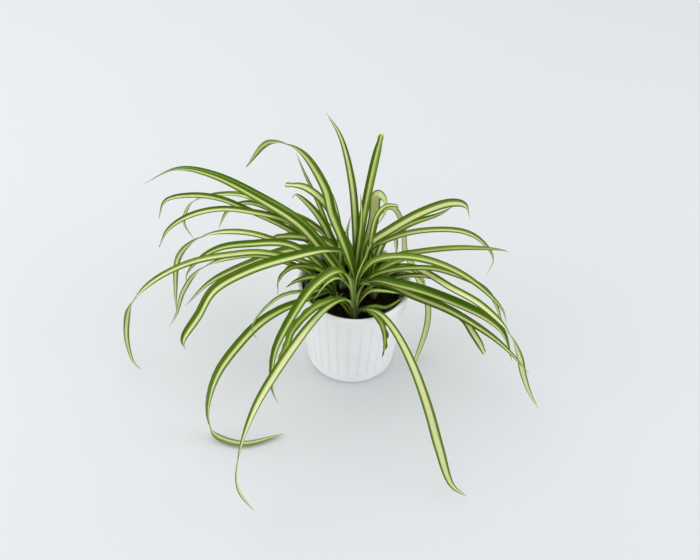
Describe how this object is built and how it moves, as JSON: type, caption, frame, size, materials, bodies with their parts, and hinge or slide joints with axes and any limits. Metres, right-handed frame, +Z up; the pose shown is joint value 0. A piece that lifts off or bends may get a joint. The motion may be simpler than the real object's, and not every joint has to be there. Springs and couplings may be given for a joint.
{
  "type": "potted spider plant",
  "caption": "House plant with long arching cream-striped green leaves, growing in a black nursery pot inside a round ribbed white ceramic cachepot.",
  "frame": {"origin": "centre of the cachepot's flat base, on the surface it stands on", "axes": "+Z up, -Y towards the viewer of the picture, +X to the viewer's right"},
  "size_m": [0.5291, 0.427, 0.3021],
  "materials": {
    "white_glaze": "smooth white satin glaze",
    "black_plastic": "thin matte black plastic",
    "potting_soil": "loose dark brown crumbs",
    "leaf": "satin leaf, green edges and a cream middle stripe"
  },
  "bodies": {
    "root": {"pot": "white_glaze", "nursery_pot": "black_plastic", "soil": "potting_soil", "shoot_front": "leaf", "shoot_middle": "leaf", "shoot_left": "leaf", "shoot_back_left": "leaf", "shoot_back": "leaf", "shoot_back_right": "leaf", "shoot_right": "leaf"}
  },
  "joints": []
}
